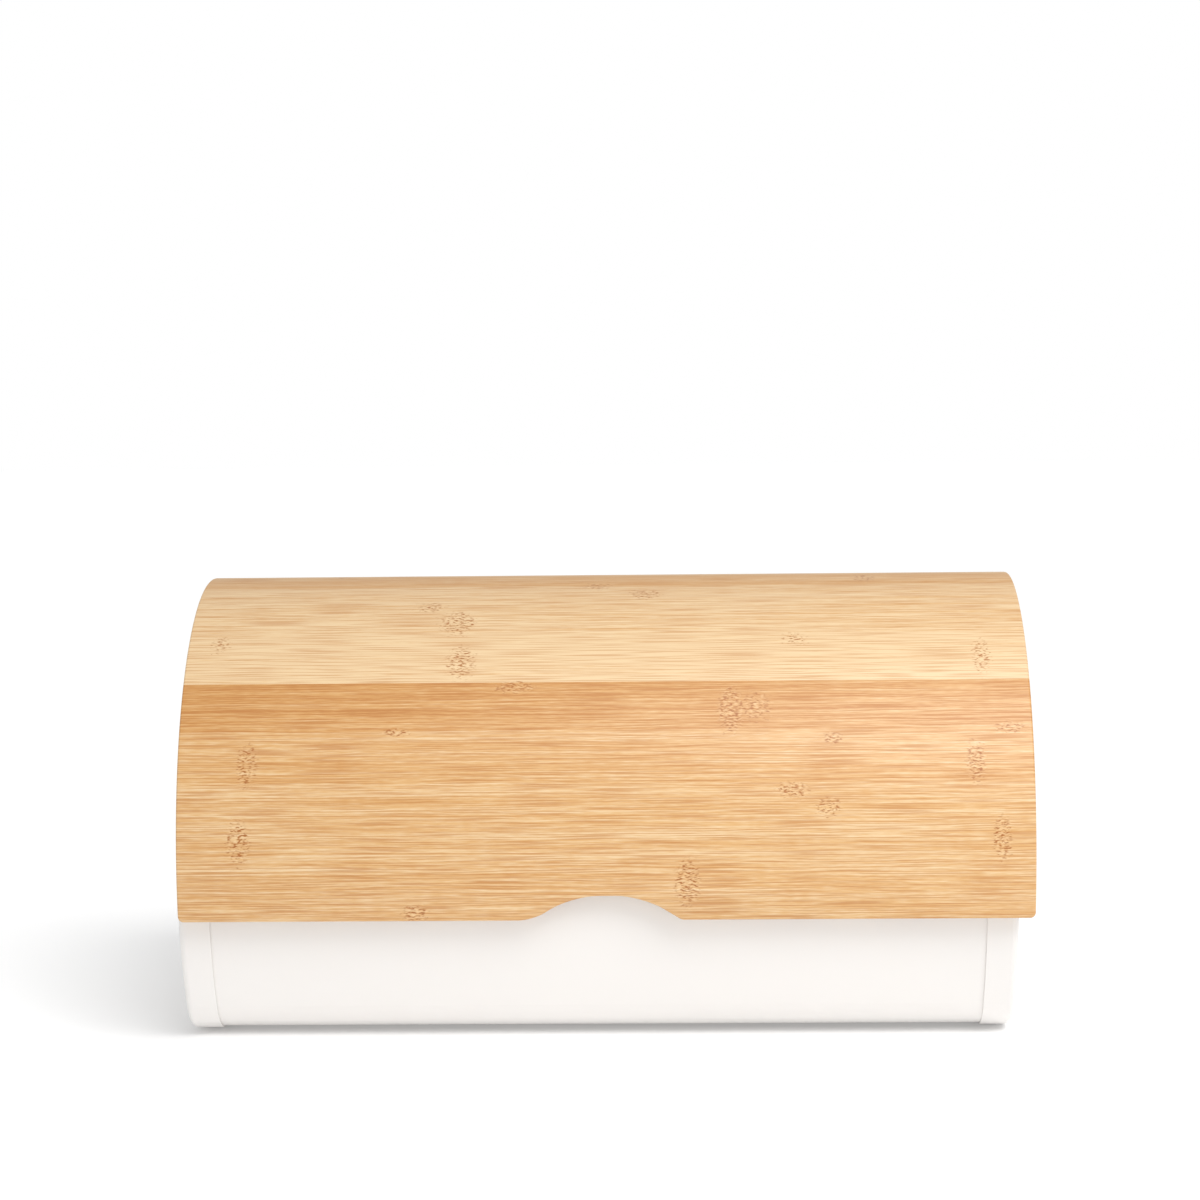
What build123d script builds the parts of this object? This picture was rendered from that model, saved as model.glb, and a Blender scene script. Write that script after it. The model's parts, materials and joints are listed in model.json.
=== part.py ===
from build123d import *
import os
from math import cos, degrees, radians, sin, sqrt

# Bread box with a roll top: a round-topped steel box with its mouth at the front and top,
# closed by one curved bamboo panel that turns back over the box about its own centre line.
#
# Frame: +X to the right as seen from the front, +Y to the back, +Z up, millimetres.
# The origin is on the table, at the middle of the closed box's depth.
# Angles on the round profile are in degrees above the horizontal, counted about the pivot
# from the front: 0 is straight ahead, 90 is the top, 180 is the back.

# ---- driving sizes -------------------------------------------------------------------------

body_length = 380.4         # over the two end caps
body_radius = 119.0         # round outline of the end caps
pivot_height = 77.5         # centre of the round outline above the table
corner_radius = 30.0        # bottom corners of the outline

sheet = 0.7                 # steel sheet of the shell and the caps
cap_depth = 14.4            # how far a cap's rim reaches over the shell
cap_edge_round = 3.0        # outer edge of a cap, from the press
shell_fit = 0.1             # gap between the shell and what it slides into
hem_length = 8.0            # folded edge along the shell's two lips
hem_round = 0.6

vent_radius = 2.5
vent_pitch = 14.0
vent_count = 7
vent_angle = 158.0

foot_thickness = 1.2
foot_length = 26.0
foot_width = 10.4
foot_stem_radius = 2.5
foot_barb_radius = 3.6
foot_barb_height = 2.0
foot_barb_chamfer = 1.2
foot_corner = 4.5
foot_inset = 2.0            # from the end of the flat base to the foot
foot_rim_gap = 0.6          # from the cap's open edge to the foot

lid_overhang = 2.3          # the panel is this much longer than the body at each end
lid_thickness = 5.0
lid_gap = 3.5               # from the caps' outline to the inside of the panel
lid_low_angle = -7.8        # lower edge of the closed panel
lid_high_angle = 112.0      # rear edge of the closed panel
lid_offset = 3.9            # the panel is screwed on this far to the right of the middle
lid_corner_round = 2.5
lid_outer_ease = 1.0        # sanded edges
lid_inner_ease = 0.6

notch_depth = 11.3          # finger notch in the panel's lower edge
notch_left = -32.5          # where the flanks would meet the edge and the notch's roof,
notch_right = 34.3          # from the middle of the panel
notch_roof_left = -15.5
notch_roof_right = 16.5
notch_foot_round_left = 22.0
notch_foot_round_right = 4.0
notch_roof_round = 40.0
notch_run_out = 0.15        # the cutter's shoulders stay this far below the panel's edge

lid_travel = 80.0           # how far the lid rolls back
arm_angle = 12.5            # middle of the arm's head on the closed lid
arm_half_angle = 9.5        # half of the arm's head
arm_sheet = 1.5
arm_width = 22.0
arm_head_depth = 18.0       # radial depth of the arm's wide head
arm_head_round = 5.0
arm_flange = 16.0
arm_cap_gap = 3.3           # from the caps' rims to the arm

bush_radius = 7.0
bush_stub_radius = 4.0      # the arm turns on this
bush_running_clearance = 0.05
bush_end_play = 0.2
axle_radius = 2.5
axle_head_radius = 6.5
axle_head_height = 2.4
axle_head_round = 1.9
hex_key_radius = 2.0
hex_key_depth = 1.4
axle_end = 1.2              # screw end past the nut
washer_radius = 7.5
washer_thickness = 1.0
nut_across_flats = 8.0
nut_height = 4.7

lid_screw_radius = 1.6
lid_screw_head_radius = 3.4
lid_screw_head_height = 1.8
lid_screw_head_round = 1.26
lid_screw_depth = 3.6       # hole into the bamboo
lid_screw_tip_gap = 0.2     # from the screw's tip to the hole's end
lid_screw_spacing = 24.0    # along the arc

hole_clearance = 0.05       # drilled holes over what passes through them
thread_clearance = 0.02
seat_gap = 0.06             # flat heads and tails against curved sheet

rivet_radius = 1.6
rivet_head_radius = 3.1
rivet_head_height = 0.9
rivet_head_round = 0.7
rivet_tail_radius = 2.3
rivet_tail_height = 1.2
rivet_angles = (135.0, 158.0, 181.0)

stop_thickness = 2.5        # rubber between the shell's lip and the arm
stop_clearance = 0.5
stop_leg = 5.0              # how far the clip reaches down the lip
stop_wall = 1.4
stop_slot_clearance = 0.03  # the clip's slot over the lip
stop_rim_gap = 0.4          # from a cap's rim to the clip

overrun = 1.0               # cutters start and end this far outside what they cut
same = 0.01                 # lengths that differ by less are the same

# ---- sizes that follow -----------------------------------------------------------------------

half_length = body_length / 2
lid_length = body_length + 2 * lid_overhang
base_drop = pivot_height - foot_thickness        # pivot above the caps' flat base
lid_inner_radius = body_radius + lid_gap
lid_outer_radius = lid_inner_radius + lid_thickness
shell_inset = sheet + shell_fit
shell_radius = body_radius - shell_inset
shell_inner_radius = shell_radius - sheet
shell_half_length = half_length - cap_edge_round - shell_fit
hem_inner_radius = shell_inner_radius - sheet
lip_radius = (shell_radius + hem_inner_radius) / 2

arm_low_angle = arm_angle - arm_half_angle
arm_high_angle = arm_angle + arm_half_angle
stop_reach = degrees((stop_thickness + stop_clearance) / lip_radius)
lip_front_angle = arm_low_angle - stop_reach
lip_rear_angle = arm_high_angle + lid_travel + stop_reach

arm_outer_x = half_length - cap_depth - arm_cap_gap
arm_inner_x = arm_outer_x - arm_sheet
flange_inner_radius = lid_inner_radius - arm_sheet

seam = 2 * sheet + shell_fit                      # through a cap's rim and the shell
flat_half = sqrt((body_radius - corner_radius) ** 2 - (base_drop - corner_radius) ** 2)
foot_x = half_length - cap_depth + foot_rim_gap + foot_width / 2
foot_y = flat_half - foot_inset - foot_length / 2
rivet_x = half_length - cap_depth / 2
washer_x = arm_inner_x - bush_end_play
nut_x = washer_x - washer_thickness
axle_end_x = nut_x - nut_height - axle_end
stop_x = (arm_inner_x + arm_outer_x) / 2
stop_half_length = half_length - cap_depth - stop_rim_gap - stop_x
lid_screw_x = arm_inner_x - (arm_flange - arm_sheet) / 2

# The box is placed so that Y = 0 is the middle of its depth, closed.
rear_reach = body_radius + seat_gap + rivet_head_height
pivot_y = (lid_outer_radius - rear_reach) / 2

os.makedirs("parts", exist_ok=True)


# ---- helpers -----------------------------------------------------------------------------------

def save(name, shape):
    """Move a piece from the pivot's frame to the box's frame and write it."""
    placed = Pos(0, pivot_y, pivot_height) * shape
    placed.label = name
    export_step(placed, f"parts/{name}.step")


def on_profile(radius, angle, x=0.0):
    """A point on the round profile."""
    a = radians(angle)
    return Vector(x, -radius * cos(a), radius * sin(a))


def outward(radius, angle, x):
    """A plane on the round profile whose normal points away from the pivot."""
    return Plane(origin=on_profile(radius, angle, x), x_dir=(1, 0, 0), z_dir=on_profile(1, angle))


def across(side, x):
    """A plane across the pivot axis whose normal points away from the box's middle."""
    return Plane(origin=(side * x, 0, 0), x_dir=(0, 1, 0), z_dir=(side, 0, 0))


def slab(face, x_from, x_to):
    """A face of the YZ plane, extruded between two X positions."""
    low = min(x_from, x_to)
    return extrude(Plane.YZ.offset(low) * face, amount=abs(x_to - x_from))


def rod(plane, radius, start, end):
    """A cylinder along a plane's normal, between two heights over the plane."""
    return extrude(plane.offset(start) * Circle(radius), amount=end - start)


def button(plane, radius, height, rounding):
    """A low disc with a rounded far edge, as on a screw or rivet head."""
    disc = rod(plane, radius, 0, height)
    rim = disc.edges().sort_by(lambda edge: plane.to_local_coords(edge.center()).Z)[-1]
    return fillet(rim, rounding)


def ring_sector(r_in, r_out, low, high):
    """Part of a ring about the pivot, between two profile angles."""
    start = 180 - high
    span = high - low
    inner = CenterArc((0, 0), r_in, start, span)
    outer = CenterArc((0, 0), r_out, start, span)
    ends = [Line(inner @ 0, outer @ 0), Line(inner @ 1, outer @ 1)]
    return make_face([inner, outer, *ends])


def outline(inset):
    """The box's end outline: a circle cut by the flat base, with rounded bottom corners."""
    radius = body_radius - inset
    drop = base_drop - inset
    above = Pos(0, radius - drop) * Rectangle(2 * radius, 2 * radius)
    shape = Circle(radius) & above
    return fillet(shape.vertices(), corner_radius - inset)


def arc_degrees(length, radius):
    """The angle that a length takes up on an arc."""
    return degrees(length / radius)


# ---- steel shell and end caps ------------------------------------------------------------------

def foot_plane(side, end):
    """The caps' flat base at one foot, its normal pointing up."""
    return Plane(origin=(side * foot_x, end * foot_y, -base_drop), z_dir=(0, 0, 1))


def seam_drills(side):
    """Holes through a cap's rim and the shell under it, for feet and rivets."""
    drills = []
    for end in (-1, 1):
        drills.append(rod(foot_plane(side, end), foot_stem_radius + hole_clearance, -overrun, 2 * seam))
    for angle in rivet_angles:
        plane = outward(body_radius, angle, side * rivet_x)
        drills.append(rod(plane, rivet_radius + hole_clearance, -2 * seam, overrun))
    return drills


def make_shell():
    ring = outline(shell_inset) - outline(shell_inset + sheet)
    mouth = ring_sector(overrun, body_radius + overrun, lip_front_angle, lip_rear_angle)
    profile = ring - mouth
    hem = arc_degrees(hem_length, shell_inner_radius)
    hem_outer_radius = shell_inner_radius + sheet / 2
    profile += ring_sector(hem_inner_radius, hem_outer_radius, lip_front_angle - hem, lip_front_angle)
    profile += ring_sector(hem_inner_radius, hem_outer_radius, lip_rear_angle, lip_rear_angle + hem)
    shell = slab(profile, -shell_half_length, shell_half_length)
    lips = []
    for angle in (lip_front_angle, lip_rear_angle):
        for radius in (shell_radius, hem_inner_radius):
            lips.append(shell.edges().sort_by_distance(on_profile(radius, angle))[0])
    shell = fillet(lips, hem_round)
    for side in (-1, 1):
        for drill in seam_drills(side):
            shell -= drill
    for i in range(vent_count):
        x = (i - (vent_count - 1) / 2) * vent_pitch
        shell -= rod(outward(shell_radius, vent_angle, x), vent_radius, -2 * sheet, sheet)
    return shell


def end_face(solid, side):
    """The face of a solid that is furthest out on one side."""
    return solid.faces().sort_by(Axis.X)[-1 if side > 0 else 0]


def make_cap(side):
    rim_x = half_length - cap_depth
    outer = slab(outline(0), side * rim_x, side * half_length)
    outer = fillet(end_face(outer, side).edges(), cap_edge_round)
    inner = slab(outline(sheet), side * (rim_x - overrun), side * (half_length - sheet))
    inner = fillet(end_face(inner, side).edges(), cap_edge_round - sheet)
    cap = outer - inner
    cap -= rod(across(side, half_length), axle_radius + hole_clearance, -2 * sheet, sheet)
    for drill in seam_drills(side):
        cap -= drill
    return cap


def make_rivets(side):
    rivets = []
    for angle in rivet_angles:
        plane = outward(body_radius + seat_gap, angle, side * rivet_x)
        head = button(plane, rivet_head_radius, rivet_head_height, rivet_head_round)
        tail_top = -seam - 2 * seat_gap
        tail_end = tail_top - rivet_tail_height
        shank = rod(plane, rivet_radius, tail_end, rivet_head_height / 2)
        tail = rod(plane, rivet_tail_radius, tail_end, tail_top)
        rivets.append(head + shank + tail)
    return Compound(children=rivets)


def make_foot(side, end):
    base = foot_plane(side, end)
    pad_shape = RectangleRounded(foot_width, foot_length, foot_corner)
    pad = extrude(base.offset(-foot_thickness) * pad_shape, amount=foot_thickness)
    stem = rod(base, foot_stem_radius, 0, seam)
    barb = rod(base, foot_barb_radius, seam, seam + foot_barb_height)
    top_rim = barb.edges().sort_by(Axis.Z)[-1]
    return pad + stem + chamfer(top_rim, foot_barb_chamfer)


# ---- the lid's axle, one at each end -------------------------------------------------------------

def make_bush(side):
    plane = across(side, 0)
    shoulder = rod(plane, bush_radius, arm_outer_x + bush_end_play, half_length - sheet)
    stub = rod(plane, bush_stub_radius, arm_inner_x - bush_end_play, arm_outer_x + bush_end_play)
    bore = rod(plane, axle_radius + hole_clearance, 0, half_length)
    return shoulder + stub - bore


def make_axle_screw(side):
    outside = across(side, half_length)
    head = button(outside, axle_head_radius, axle_head_height, axle_head_round)
    shank = rod(across(side, 0), axle_radius, axle_end_x, half_length + axle_head_height / 2)
    recess = extrude(
        outside.offset(axle_head_height - hex_key_depth) * RegularPolygon(hex_key_radius, 6),
        amount=2 * hex_key_depth,
    )
    return head + shank - recess


def make_washer(side):
    plane = across(side, 0)
    hole = rod(plane, axle_radius + hole_clearance, 0, half_length)
    return rod(plane, washer_radius, washer_x - washer_thickness, washer_x) - hole


def make_nut(side):
    plane = across(side, nut_x - nut_height)
    body = extrude(plane * RegularPolygon(nut_across_flats / 2, 6, major_radius=False), amount=nut_height)
    return body - rod(plane, axle_radius + thread_clearance, -overrun, nut_height + overrun)


# ---- stops ---------------------------------------------------------------------------------------

def make_stop(side, lip_angle, into_mouth):
    """A rubber clip on a lip. into_mouth is +1 where the mouth is at larger angles."""
    top = lip_angle + into_mouth * arc_degrees(stop_thickness, lip_radius)
    skirt = lip_angle - into_mouth * arc_degrees(stop_leg, lip_radius)
    r_in = hem_inner_radius - stop_wall
    r_out = shell_radius + stop_wall
    block = ring_sector(r_in, r_out, min(top, skirt), max(top, skirt))
    slot_end = skirt - into_mouth * overrun
    slot = ring_sector(
        hem_inner_radius - stop_slot_clearance,
        shell_radius + stop_slot_clearance,
        min(lip_angle, slot_end),
        max(lip_angle, slot_end),
    )
    return slab(block - slot, side * (stop_x - stop_half_length), side * (stop_x + stop_half_length))


# ---- lid -----------------------------------------------------------------------------------------

def notch_cutter():
    """The finger notch, cut square to the panel at its lower edge."""
    edge = outward(lid_outer_radius, lid_low_angle, lid_offset)
    shoulder = -notch_run_out
    far = lid_length / 4
    top_line = FilletPolyline(
        (-far, shoulder),
        (notch_left, shoulder),
        (notch_roof_left, notch_depth),
        (notch_roof_right, notch_depth),
        (notch_right, shoulder),
        (far, shoulder),
        radius=(notch_foot_round_left, notch_roof_round, notch_roof_round, notch_foot_round_right),
    )
    below = Polyline((far, shoulder), (far, -notch_depth), (-far, -notch_depth), (-far, shoulder))
    shape = make_face([*top_line.edges(), *below.edges()])
    return extrude(edge * shape, amount=2 * lid_thickness, both=True)


def lid_screw_planes(side):
    """Where the screws go: on the inside of each arm's flange, pointing into the bamboo."""
    planes = []
    step = arc_degrees(lid_screw_spacing / 2, flange_inner_radius)
    for angle in (arm_angle - step, arm_angle + step):
        planes.append(outward(flange_inner_radius, angle, side * lid_screw_x))
    return planes


def make_panel():
    arc = ring_sector(lid_inner_radius, lid_outer_radius, lid_low_angle, lid_high_angle)
    left = lid_offset - lid_length / 2
    panel = slab(arc, left, left + lid_length)
    corners = panel.edges().filter_by(lambda edge: abs(edge.length - lid_thickness) < same)
    panel = fillet(corners, lid_corner_round)
    panel -= notch_cutter()
    outside = panel.faces().sort_by(lambda face: face.area)[-1]
    inside = panel.faces().sort_by(lambda face: face.area)[-2]
    panel = fillet(outside.edges(), lid_outer_ease)
    panel = fillet(inside.edges(), lid_inner_ease)
    for side in (-1, 1):
        for plane in lid_screw_planes(side):
            panel -= rod(plane, lid_screw_radius + thread_clearance, 0, arm_sheet + lid_screw_depth)
    return panel


def is_strap_corner(vertex):
    """The concave corners where an arm's strap meets the inside of its wide head."""
    lean = radians(180 - arm_angle)
    along = vertex.X * cos(lean) + vertex.Y * sin(lean)
    aside = vertex.Y * cos(lean) - vertex.X * sin(lean)
    on_head = abs(sqrt(along**2 + aside**2) - (lid_inner_radius - arm_head_depth)) < same
    return on_head and abs(abs(aside) - arm_width / 2) < same


def make_arm(side):
    head = ring_sector(lid_inner_radius - arm_head_depth, lid_inner_radius, arm_low_angle, arm_high_angle)
    reach = lid_inner_radius - arm_head_depth / 2
    strap = Rot(0, 0, 180 - arm_angle) * Pos(reach / 2, 0) * Rectangle(reach, arm_width)
    face = head + strap + Circle(arm_width / 2)
    inner_corners = face.vertices().filter_by(is_strap_corner)
    face = fillet(inner_corners, arm_head_round)
    face -= Circle(bush_stub_radius + bush_running_clearance)
    plate = slab(face, side * arm_inner_x, side * arm_outer_x)
    flange_arc = ring_sector(flange_inner_radius, lid_inner_radius, arm_low_angle, arm_high_angle)
    flange = slab(flange_arc, side * (arm_outer_x - arm_flange), side * arm_outer_x)
    arm = plate + flange
    bend = arm.edges().sort_by_distance(on_profile(lid_inner_radius, arm_angle, side * arm_outer_x))[0]
    arm = fillet(bend, arm_sheet)
    for screw_plane in lid_screw_planes(side):
        arm -= rod(screw_plane, lid_screw_radius + hole_clearance, -overrun, 2 * arm_sheet)
    return arm


def make_lid_screws(side):
    screws = []
    tip = arm_sheet + lid_screw_depth - lid_screw_tip_gap
    for plane in lid_screw_planes(side):
        seat = plane.offset(-seat_gap)
        inward = Plane(origin=seat.origin, x_dir=seat.x_dir, z_dir=-seat.z_dir)
        head = button(inward, lid_screw_head_radius, lid_screw_head_height, lid_screw_head_round)
        shank = rod(plane, lid_screw_radius, -lid_screw_head_height / 2, tip)
        screws.append(head + shank)
    return Compound(children=screws)


# ---- the box ---------------------------------------------------------------------------------------

save("body_shell", make_shell())
save("lid_panel", make_panel())

for side, side_name in ((-1, "left"), (1, "right")):
    save(f"end_cap_{side_name}", make_cap(side))
    save(f"cap_rivets_{side_name}", make_rivets(side))
    for end, end_name in ((-1, "front"), (1, "rear")):
        save(f"foot_{end_name}_{side_name}", make_foot(side, end))
    save(f"pivot_bush_{side_name}", make_bush(side))
    save(f"pivot_screw_{side_name}", make_axle_screw(side))
    save(f"pivot_washer_{side_name}", make_washer(side))
    save(f"pivot_nut_{side_name}", make_nut(side))
    save(f"stop_pad_front_{side_name}", make_stop(side, lip_front_angle, 1))
    save(f"stop_pad_rear_{side_name}", make_stop(side, lip_rear_angle, -1))
    save(f"lid_arm_{side_name}", make_arm(side))
    save(f"lid_screws_{side_name}", make_lid_screws(side))
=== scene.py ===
import json
from math import atan2, cos, pi, radians, sin, sqrt, tan

import bmesh
import bpy
from mathutils import Matrix, Vector


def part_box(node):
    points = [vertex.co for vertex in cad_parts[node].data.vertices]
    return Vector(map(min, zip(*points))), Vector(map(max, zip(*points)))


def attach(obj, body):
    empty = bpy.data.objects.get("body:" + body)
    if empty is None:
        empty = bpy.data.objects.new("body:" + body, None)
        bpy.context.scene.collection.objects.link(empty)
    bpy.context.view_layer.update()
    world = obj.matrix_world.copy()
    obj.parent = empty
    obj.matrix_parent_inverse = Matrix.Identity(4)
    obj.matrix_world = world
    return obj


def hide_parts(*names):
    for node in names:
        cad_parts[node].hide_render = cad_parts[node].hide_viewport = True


# A round-topped bread box: white powder-coated steel shell and end caps, and a lid bent from
# one bamboo panel, which rolls back over the top. Metres, +X right, +Y back, +Z up.

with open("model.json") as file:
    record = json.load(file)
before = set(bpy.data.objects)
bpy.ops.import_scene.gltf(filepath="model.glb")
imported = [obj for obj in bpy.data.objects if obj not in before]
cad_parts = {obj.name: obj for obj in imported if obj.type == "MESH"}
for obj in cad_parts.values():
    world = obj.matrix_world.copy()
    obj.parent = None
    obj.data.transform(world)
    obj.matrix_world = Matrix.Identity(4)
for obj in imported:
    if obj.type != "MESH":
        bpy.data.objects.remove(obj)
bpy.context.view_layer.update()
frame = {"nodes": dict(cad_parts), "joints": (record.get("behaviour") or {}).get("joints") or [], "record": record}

MM = 0.001

# ---- places read from the frame ----------------------------------------------------------------

hinge = next(joint for joint in frame["joints"] if joint["name"] == "lid_roll")
PIVOT = Vector(hinge["pos_m"])

panel_low, panel_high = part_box("lid_panel")
PANEL_RADIUS = PIVOT.y - panel_low.y
PANEL_DROP = PIVOT.z - panel_low.z          # from the pivot down to the panel's lower edge
PANEL_LOW_ANGLE = -atan2(PANEL_DROP, sqrt(PANEL_RADIUS**2 - PANEL_DROP**2))
PANEL_MIDDLE_X = (panel_low.x + panel_high.x) / 2
PANEL_LENGTH = panel_high.x - panel_low.x

# ---- sizes of the bamboo panel, in millimetres ----------------------------------------------------

panel_thickness = 5.0
panel_span = radians(119.8)         # angle that the panel covers about the pivot
panel_corner_round = 2.5
panel_outer_ease = 1.0
panel_inner_ease = 0.6
round_facets = 8
ease_facets = 3
bend_step = 2.5                     # length of one facet around the bend

notch_depth = 11.3
notch_corners = (                   # across the panel's middle, up from its edge, round
    (-32.5, 0.0, 22.0),
    (-15.5, notch_depth, 40.0),
    (16.5, notch_depth, 40.0),
    (34.3, 0.0, 4.0),
)

# Glued strips of the panel from its lower edge up: width, and how light the strip is.
# Light is 0 for the darkest culm wood and 1 for the palest.
panel_strips = (
    (28.0, 0.48),
    (17.0, 0.55),
    (15.8, 0.52),
    (20.6, 0.35),
    (6.3, 0.40),
    (24.7, 0.07),
    (30.4, 0.88),
    (28.8, 0.74),
    (18.2, 0.72),
    (25.5, 0.40),
    (22.0, 0.74),
    (30.0, 0.30),
)

# Each strip comes from another culm, so its pattern starts somewhere else, in metres along
# and across; the step spreads the strips over that range.
strip_shift = (3.0, 0.9, 0.0)
strip_shift_step = 0.37

# Culm knuckles: along the panel from its middle, up from its edge, half length, half height,
# and how strong the knuckle is.
panel_knuckles = (
    (-86.0, 4.0, 5.5, 3.5, 0.8),
    (37.0, 17.5, 4.8, 8.8, 1.0),
    (-164.5, 36.5, 4.5, 8.5, 1.0),
    (177.5, 36.5, 3.4, 8.5, 1.0),
    (84.5, 59.0, 6.5, 3.2, 0.9),
    (100.0, 51.0, 5.0, 3.8, 0.8),
    (-161.0, 71.5, 4.2, 8.5, 0.9),
    (166.5, 72.0, 3.8, 8.5, 0.9),
    (102.5, 83.0, 3.8, 2.4, 0.9),
    (-94.0, 87.0, 5.4, 2.0, 0.8),
    (182.5, 87.5, 5.8, 2.4, 0.9),
    (57.0, 97.5, 5.0, 9.8, 1.0),
    (68.0, 99.0, 7.5, 7.5, 0.6),
    (-41.0, 110.0, 7.4, 2.8, 1.0),
    (-66.0, 125.0, 6.0, 9.0, 0.8),
    (171.5, 126.5, 3.8, 9.5, 0.8),
    (-177.5, 137.5, 4.4, 5.5, 0.6),
    (87.0, 138.5, 5.6, 4.5, 0.6),
    (-69.0, 152.5, 7.6, 8.5, 0.8),
    (-82.0, 166.5, 7.0, 5.0, 0.6),
    (18.0, 179.0, 6.8, 5.5, 0.7),
    (-5.0, 190.5, 6.8, 6.0, 0.6),
    (122.0, 204.0, 5.0, 8.5, 0.8),
    (-128.0, 224.0, 4.6, 9.0, 0.9),
    (44.0, 232.0, 5.2, 8.0, 0.9),
    (-32.0, 252.0, 6.0, 9.0, 0.9),
    (149.0, 249.0, 4.6, 8.0, 0.8),
)

knuckle_fade = (1.7, 0.3)           # where a knuckle starts and is full, over its half sizes
ragged_depth = 0.9                  # how much noise tears at a knuckle's edge
ragged_range = (0.66, 1.05)

# Noise drawn out along the grain: how far apart its streaks lie along and across the grain,
# in mm, detail and roughness. The first table is laid on the culm as it grew, the second on
# its fibres, which wander and swerve.
culm_noises = {
    "ragged": (2.4, 1.5, 1.0, 0.5),
    "wander": (80.0, 11.0, 1.0, 0.5),
    "swerve": (3.2, 3.4, 1.0, 0.5),
    "clouds": (60.0, 14.0, 1.0, 0.5),
}
fibre_noises = {
    "bands": (460.0, 3.6, 2.0, 0.6),
    "lines": (260.0, 1.5, 0.0, 0.5),
    "streaks": (75.0, 0.9, 0.0, 0.5),
    "dashes": (6.5, 0.6, 1.0, 0.5),
    "threads": (32.0, 0.52, 0.0, 0.5),
    "flecks": (2.3, 0.8, 1.0, 0.6),
}
wander_depth = 1.6
swerve_depth = 2.2

# How much each noise lightens and darkens the wood, how strongly on the darkest and on the
# palest strip, and the lights at the two ends of the wood's colours.
light_depths = {"bands": 0.85, "clouds": 0.3, "lines": 0.5, "streaks": 0.6, "dashes": 0.85}
strip_contrast = (1.2, 0.65)
light_range = (-0.33, 0.83)
wood_colours = ((0.0, "BF8243"), (0.3, "D09A5A"), (0.6, "DBAE75"), (1.0, "E9CB9F"))

# What is drawn over the wood: the noise, the values where it starts and is full, how strong it
# is, and its colour. Threads of hard fibre cut along their length show as thin brown lines,
# and a planed knuckle as short flecks, dark and pale.
thread_marks = ("threads", 0.53, 0.36, 0.68, "BC7D3E")
dark_flecks = ("flecks", 0.50, 0.36, 1.0, "A8662A")
pale_flecks = ("flecks", 0.50, 0.70, 0.35, "F2D6A8")


# ---- nodes and materials ---------------------------------------------------------------------------

def linear(code):
    """A linear RGBA colour from an sRGB hex value such as F6F2EC."""
    parts = [int(code[i:i + 2], 16) / 255 for i in (0, 2, 4)]
    return (*[c / 12.92 if c <= 0.04045 else ((c + 0.055) / 1.055) ** 2.4 for c in parts], 1.0)


def add(tree, kind, inputs=None, stops=None, **settings):
    """Adds a node. inputs maps sockets to values or to the sockets that feed them."""
    made = tree.nodes.new(kind)
    for name, value in settings.items():
        setattr(made, name, value)
    for socket, source in (inputs or {}).items():
        if isinstance(source, bpy.types.NodeSocket):
            tree.links.new(source, made.inputs[socket])
        else:
            made.inputs[socket].default_value = source
    if stops:
        points = made.color_ramp.elements
        while len(points) < len(stops):
            points.new(1.0)
        for point, (at, colour) in zip(points, stops):
            point.position = at
            point.color = colour
    return made


def new_material(name, values):
    """An empty material with one Principled shader; the values go on the shader's own sockets."""
    material = bpy.data.materials.new(name)
    material.use_nodes = True
    tree = material.node_tree
    tree.nodes.clear()
    shader = add(tree, "ShaderNodeBsdfPrincipled", values)
    add(tree, "ShaderNodeOutputMaterial", {"Surface": shader.outputs[0]})
    return material, tree, shader


def grey(value):
    return (value, value, value, 1.0)


def fine_relief(tree, shader, pitch, detail, strength, depth):
    """Gives a surface a fine random relief; pitch and depth are in mm."""
    place = add(tree, "ShaderNodeTexCoord").outputs["Object"]
    relief = add(tree, "ShaderNodeTexNoise", {"Vector": place, "Scale": 1 / (pitch * MM), "Detail": detail})
    bump = add(tree, "ShaderNodeBump", {"Height": relief.outputs["Fac"], "Strength": strength,
                                        "Distance": depth * MM})
    tree.links.new(bump.outputs[0], shader.inputs["Normal"])


def uneven_gloss(tree, shader, pitch, low, high):
    """Lets a surface's roughness drift between two values; pitch is in mm."""
    place = add(tree, "ShaderNodeTexCoord").outputs["Object"]
    cloud = add(tree, "ShaderNodeTexNoise", {"Vector": place, "Scale": 1 / (pitch * MM), "Detail": 3.0})
    rough = add(tree, "ShaderNodeMapRange", {"Value": cloud.outputs["Fac"], "To Min": low, "To Max": high})
    tree.links.new(rough.outputs[0], shader.inputs["Roughness"])


def strip_ramp(tree, share, values):
    """Steps from one strip's value to the next at the glue lines."""
    total = sum(width for width, _ in panel_strips)
    stops = []
    start = 0.0
    for (width, _), value in zip(panel_strips, values):
        stops.append((start / total, grey(value)))
        start += width
    ramp = add(tree, "ShaderNodeValToRGB", {"Fac": share}, stops)
    ramp.color_ramp.interpolation = "CONSTANT"
    return ramp.outputs["Color"]


def near_knuckles(tree, grain):
    """1 inside a strong knuckle, falling off to 0 around it."""
    nearest = 0.0
    for along, height, half_length, half_height, strength in panel_knuckles:
        scale = (1 / (half_length * MM), 1 / (half_height * MM), 0.0)
        away = add(tree, "ShaderNodeVectorMath",
                   {0: grain, 1: scale, 2: (-along / half_length, -height / half_height, 0.0)},
                   operation="MULTIPLY_ADD")
        reach = add(tree, "ShaderNodeVectorMath", {0: away.outputs[0]}, operation="LENGTH")
        inside = add(tree, "ShaderNodeMapRange", {
            "Value": reach.outputs["Value"], "From Min": knuckle_fade[0], "From Max": knuckle_fade[1],
            "To Max": strength,
        })
        nearest = add(tree, "ShaderNodeMath", {0: nearest, 1: inside.outputs[0]},
                      operation="MAXIMUM").outputs[0]
    return nearest


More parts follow.
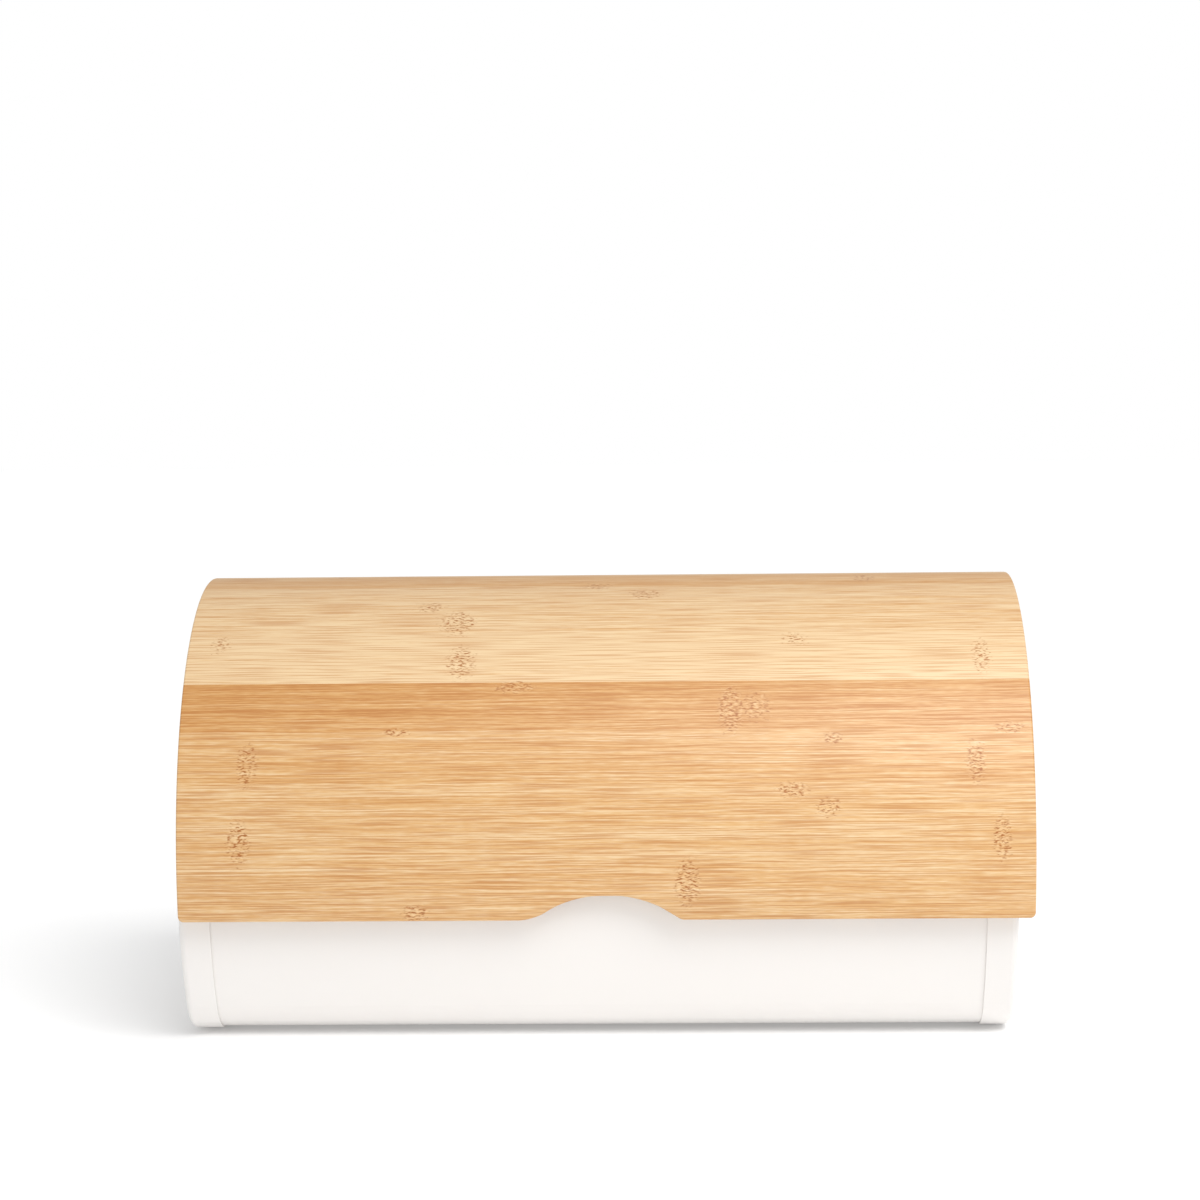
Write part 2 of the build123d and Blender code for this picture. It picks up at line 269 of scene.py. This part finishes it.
def drawn_noises(tree, place, noises):
    """One socket for each noise of a table, drawn out along the grain."""
    made = {}
    for name, (length, width, detail, roughness) in noises.items():
        sized = add(tree, "ShaderNodeVectorMath", {0: place, 1: (1 / (length * MM), 1 / (width * MM), 1.0)},
                    operation="MULTIPLY")
        made[name] = add(tree, "ShaderNodeTexNoise", {
            "Vector": sized.outputs[0], "Scale": 1.0, "Detail": detail, "Roughness": roughness,
        }).outputs["Fac"]
    return made


def fibre_place(tree, culm, noises, nearest):
    """Where a point lies on its fibre: fibres wander everywhere, and swerve beside a knuckle."""
    wander = add(tree, "ShaderNodeMath", {0: noises["wander"], 1: 0.5}, operation="SUBTRACT")
    swerve = add(tree, "ShaderNodeMath", {0: noises["swerve"], 1: 0.5}, operation="SUBTRACT")
    swerve = add(tree, "ShaderNodeMath", {0: swerve.outputs[0], 1: nearest}, operation="MULTIPLY")
    swerve = add(tree, "ShaderNodeMath", {0: swerve.outputs[0], 1: swerve_depth * MM}, operation="MULTIPLY")
    across = add(tree, "ShaderNodeMath", {0: wander.outputs[0], 1: wander_depth * MM, 2: swerve.outputs[0]},
                 operation="MULTIPLY_ADD")
    across = add(tree, "ShaderNodeCombineXYZ", {"Y": across.outputs[0]})
    return add(tree, "ShaderNodeVectorMath", {0: culm, 1: across.outputs[0]}, operation="ADD").outputs[0]


def bamboo_sanded_lacquered():
    """Bamboo strips glued edge to edge, sanded and clear lacquered: straw to toffee strips with
    thin brown fibre lines drawn out along the culm, and ragged brown and pale flecks where a
    knuckle was planed through."""
    material, tree, shader = new_material("bamboo_sanded_lacquered", {
        "IOR": 1.5, "Coat Weight": 0.25, "Coat Roughness": 0.35,
    })
    grain = add(tree, "ShaderNodeUVMap", uv_map="grain").outputs["UV"]
    up = add(tree, "ShaderNodeSeparateXYZ", {"Vector": grain}).outputs["Y"]
    total = sum(width for width, _ in panel_strips)
    share = add(tree, "ShaderNodeMath", {0: up, 1: total * MM}, operation="DIVIDE").outputs[0]
    strip_light = strip_ramp(tree, share, [light for _, light in panel_strips])
    shift = strip_ramp(tree, share, [i * strip_shift_step % 1.0 for i in range(len(panel_strips))])
    shift = add(tree, "ShaderNodeVectorMath", {0: shift, 1: strip_shift}, operation="MULTIPLY")
    culm = add(tree, "ShaderNodeVectorMath", {0: grain, 1: shift.outputs[0]}, operation="ADD").outputs[0]

    nearest = near_knuckles(tree, grain)
    noises = drawn_noises(tree, culm, culm_noises)
    noises |= drawn_noises(tree, fibre_place(tree, culm, noises, nearest), fibre_noises)

    # Light of the wood: the strip's own, then all that is drawn on it, plainer on pale strips.
    pattern = -sum(light_depths.values()) / 2
    for name, depth in light_depths.items():
        pattern = add(tree, "ShaderNodeMath", {0: noises[name], 1: depth, 2: pattern},
                      operation="MULTIPLY_ADD").outputs[0]
    contrast = add(tree, "ShaderNodeMapRange", {"Value": strip_light, "To Min": strip_contrast[0],
                                                "To Max": strip_contrast[1]}).outputs[0]
    light = add(tree, "ShaderNodeMath", {0: pattern, 1: contrast, 2: strip_light}, operation="MULTIPLY_ADD")
    light = add(tree, "ShaderNodeMapRange", {"Value": light.outputs[0], "From Min": light_range[0],
                                             "From Max": light_range[1]})
    colour = add(tree, "ShaderNodeValToRGB", {"Fac": light.outputs[0]},
                 [(at, linear(code)) for at, code in wood_colours]).outputs["Color"]

    # A planed knuckle has a ragged edge.
    ragged = add(tree, "ShaderNodeMath", {0: noises["ragged"], 1: ragged_depth, 2: nearest},
                 operation="MULTIPLY_ADD")
    knuckle = add(tree, "ShaderNodeMapRange", {
        "Value": ragged.outputs[0], "From Min": ragged_range[0], "From Max": ragged_range[1],
    }, interpolation_type="SMOOTHSTEP").outputs[0]

    parts = []
    for marks, where in ((thread_marks, contrast), (dark_flecks, knuckle), (pale_flecks, knuckle)):
        name, start, full, strength, code = marks
        part = add(tree, "ShaderNodeMapRange", {"Value": noises[name], "From Min": start, "From Max": full,
                                                "To Max": strength})
        part = add(tree, "ShaderNodeMath", {0: part.outputs[0], 1: where}, operation="MULTIPLY").outputs[0]
        colour = add(tree, "ShaderNodeMix", {"Factor": part, "A": colour, "B": linear(code)},
                     data_type="RGBA").outputs["Result"]
        parts.append(part)
    tree.links.new(colour, shader.inputs["Base Color"])

    # Threads are a little duller than the wood, and threads and dark flecks lie a little lower.
    threads, dark, _ = parts
    rough = add(tree, "ShaderNodeMapRange", {"Value": threads, "To Min": 0.42, "To Max": 0.56})
    tree.links.new(rough.outputs[0], shader.inputs["Roughness"])
    lowered = add(tree, "ShaderNodeMath", {0: threads, 1: dark}, operation="ADD")
    bump = add(tree, "ShaderNodeBump", {"Height": lowered.outputs[0], "Strength": 0.3,
                                        "Distance": 0.06 * MM}, invert=True)
    tree.links.new(bump.outputs[0], shader.inputs["Normal"])
    return material


def steel_powder_coated(name):
    """Steel sheet with a baked powder coat: warm white, satin, with a faint orange peel."""
    material, tree, shader = new_material(name, {"Base Color": linear("EFECE9"), "IOR": 1.5})
    fine_relief(tree, shader, pitch=1.4, detail=2.0, strength=0.12, depth=0.05)
    uneven_gloss(tree, shader, pitch=35, low=0.33, high=0.41)
    return material


def steel_nickel_plated():
    """Turned screws and nuts with bright nickel plate: faintly warm metal with fine tool marks."""
    material, tree, shader = new_material("steel_nickel_plated", {"Base Color": linear("C9C6BF"),
                                                                  "Metallic": 1.0})
    uneven_gloss(tree, shader, pitch=0.8, low=0.20, high=0.38)
    return material


def nylon_turned():
    """Turned natural nylon: milky off-white, waxy, a little soft inside."""
    material, tree, shader = new_material("nylon_turned", {
        "Base Color": linear("E9E6DC"), "Roughness": 0.5,
        "Subsurface Weight": 0.2, "Subsurface Scale": 1.5 * MM,
    })
    fine_relief(tree, shader, pitch=0.6, detail=2.0, strength=0.1, depth=0.05)
    return material


def rubber_moulded(name, colour):
    """Moulded rubber: matte, with the fine grain of a spark-eroded mould."""
    material, tree, shader = new_material(name, {"Base Color": linear(colour), "Roughness": 0.8})
    fine_relief(tree, shader, pitch=0.5, detail=3.0, strength=0.3, depth=0.05)
    return material


# ---- the bamboo panel --------------------------------------------------------------------------------

def round_corner(bm, corner, radius):
    """Rounds one corner of a flat outline to a true radius."""
    one, two = (edge.other_vert(corner).co - corner.co for edge in corner.link_edges)
    turn = pi - one.angle(two)
    bmesh.ops.bevel(bm, geom=[corner], offset=radius * tan(turn / 2), segments=round_facets,
                    profile=0.5, affect="VERTICES", material=-1)


def flat_panel(bm, length, height):
    """The panel before it is bent: its outer face in the XY plane, its thickness down."""
    outline = (
        (-length / 2, 0.0, panel_corner_round),
        *notch_corners,
        (length / 2, 0.0, panel_corner_round),
        (length / 2, height, panel_corner_round),
        (-length / 2, height, panel_corner_round),
    )
    corners = [bm.verts.new((x, y, 0.0)) for x, y, _ in outline]
    bm.faces.new(corners)
    for corner, (_, _, radius) in zip(corners, outline):
        round_corner(bm, corner, radius)
    made = bmesh.ops.extrude_face_region(bm, geom=bm.faces[:])
    lowered = [item for item in made["geom"] if isinstance(item, bmesh.types.BMVert)]
    bmesh.ops.translate(bm, verts=lowered, vec=(0, 0, -panel_thickness))
    bmesh.ops.recalc_face_normals(bm, faces=bm.faces)
    for z, ease in ((0.0, panel_outer_ease), (-panel_thickness, panel_inner_ease)):
        rim = [edge for edge in bm.edges if all(abs(v.co.z - z) < 1e-4 for v in edge.verts)]
        bmesh.ops.bevel(bm, geom=rim, offset=ease, segments=ease_facets, profile=0.5,
                        affect="EDGES", material=-1)


def slice_across(bm, height):
    """Cuts the flat panel along its length at even steps, so that it can bend."""
    count = int(height / bend_step)
    for i in range(1, count):
        geometry = bm.verts[:] + bm.edges[:] + bm.faces[:]
        bmesh.ops.bisect_plane(bm, geom=geometry, dist=1e-5, plane_co=(0, height * i / count, 0),
                               plane_no=(0, 1, 0))


def place_mesh(name, bm):
    """Puts a finished mesh into the scene as a new object."""
    mesh = bpy.data.meshes.new(name)
    bm.to_mesh(mesh)
    bm.free()
    placed = bpy.data.objects.new(name, mesh)
    bpy.context.scene.collection.objects.link(placed)
    return placed


def bamboo_panel():
    """The panel, flat first and then bent about the pivot. Its UV map keeps the flat place."""
    radius = PANEL_RADIUS / MM
    length = PANEL_LENGTH / MM
    height = radius * panel_span
    bm = bmesh.new()
    flat_panel(bm, length, height)
    slice_across(bm, height)
    grain = bm.loops.layers.uv.new("grain")
    for face in bm.faces:
        face.smooth = True
        for loop in face.loops:
            loop[grain].uv = (loop.vert.co.x * MM, loop.vert.co.y * MM)
    for vert in bm.verts:
        angle = PANEL_LOW_ANGLE + vert.co.y / radius
        reach = (radius + vert.co.z) * MM
        x = PANEL_MIDDLE_X + vert.co.x * MM
        vert.co = (x, PIVOT.y - reach * cos(angle), PIVOT.z + reach * sin(angle))
    bmesh.ops.recalc_face_normals(bm, faces=bm.faces)
    return place_mesh("bamboo_panel", bm)


panel = bamboo_panel()
panel.data.materials.append(bamboo_sanded_lacquered())
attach(panel, "lid")
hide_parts("lid_panel")

# ---- finishes of the steel, rubber and nylon pieces ----------------------------------------------------

finishes = {
    "painted_steel": steel_powder_coated("steel_powder_coated"),
    "painted_rivets": steel_powder_coated("rivet_powder_coated"),
    "arm_steel": steel_powder_coated("arm_powder_coated"),
    "foot_rubber": rubber_moulded("rubber_foot_dark", "3A3734"),
    "stop_rubber": rubber_moulded("rubber_stop_grey", "B9B6B0"),
    "bush_nylon": nylon_turned(),
    "screw_steel": steel_nickel_plated(),
}
for part in frame["record"]["subparts"]:
    if part["material_slot"] not in finishes:
        continue
    mesh = frame["nodes"][part["node"]].data
    mesh.materials.clear()
    mesh.materials.append(finishes[part["material_slot"]])

# ---- floor, light and camera -------------------------------------------------------------------------

floor_half_size = 6.0


def white_floor():
    """The pale matte acrylic of a light table, lit a little from below."""
    material, tree, shader = new_material("acrylic_matte_white", {
        "Base Color": linear("FAFAFA"), "Roughness": 0.9,
        "Emission Color": linear("FFFFFF"), "Emission Strength": 0.14,
    })
    fine_relief(tree, shader, pitch=2, detail=2.0, strength=0.05, depth=0.02)
    bm = bmesh.new()
    bmesh.ops.create_grid(bm, x_segments=1, y_segments=1, size=floor_half_size)
    floor = place_mesh("floor", bm)
    floor.data.materials.append(material)


def towards(azimuth, elevation):
    """The direction from the box to something round it; azimuth 0 is straight in front."""
    a, e = radians(azimuth), radians(elevation)
    return Vector((sin(a) * cos(e), -cos(a) * cos(e), sin(e)))


def soft_light(name, kind, azimuth, elevation, distance, power, **settings):
    """A white light that looks at the box's middle."""
    away = towards(azimuth, elevation)
    data = bpy.data.lights.new(name, kind)
    data.energy = power
    for key, value in settings.items():
        setattr(data, key, value)
    light = bpy.data.objects.new(name, data)
    light.location = PIVOT + away * distance
    light.rotation_euler = away.to_track_quat("Z", "Y").to_euler()
    bpy.context.scene.collection.objects.link(light)


white_floor()
# A wide far-off softbox, which looks 40 degrees wide from the box, and a small near one.
soft_light("key_light", "SUN", 32, 55, 0, 1.68, angle=radians(40))
soft_light("near_softbox", "AREA", 42, 40, 0.95, 1.7, shape="SQUARE", size=0.6)

# The studio is white all round, and lights the box a little less than it shows behind it.
world = bpy.data.worlds.new("studio")
world.use_nodes = True
tree = world.node_tree
seen = add(tree, "ShaderNodeLightPath").outputs["Is Camera Ray"]
strength = add(tree, "ShaderNodeMapRange", {"Value": seen, "To Min": 0.5, "To Max": 1.0})
background = tree.nodes["Background"]
background.inputs["Color"].default_value = linear("FFFFFF")
tree.links.new(strength.outputs[0], background.inputs["Strength"])
bpy.context.scene.world = world
bpy.context.scene.view_settings.view_transform = "Standard"

camera_azimuth = 1.513
camera_elevation = 7.935
camera_roll = -0.596
camera_distance = 1.45
camera_aim = Vector((0.001257, PIVOT.y, 0.1199))
sensor_width = 36
focal_share = 2.4777            # focal length over the width of the image

azimuth, roll = radians(camera_azimuth), radians(camera_roll)
back = towards(camera_azimuth, camera_elevation)
level_right = Vector((cos(azimuth), sin(azimuth), 0))
level_up = back.cross(level_right)
right = level_right * cos(roll) + level_up * sin(roll)
up = level_up * cos(roll) - level_right * sin(roll)

camera_data = bpy.data.cameras.new("camera")
camera_data.sensor_width = sensor_width
camera_data.lens = sensor_width * focal_share
camera_data.shift_x = -0.0042
camera_data.shift_y = 0.125
camera = bpy.data.objects.new("camera", camera_data)
turned = Matrix((right, up, back)).transposed().to_4x4()
camera.matrix_world = Matrix.Translation(camera_aim + back * camera_distance) @ turned
bpy.context.scene.collection.objects.link(camera)
bpy.context.scene.camera = camera
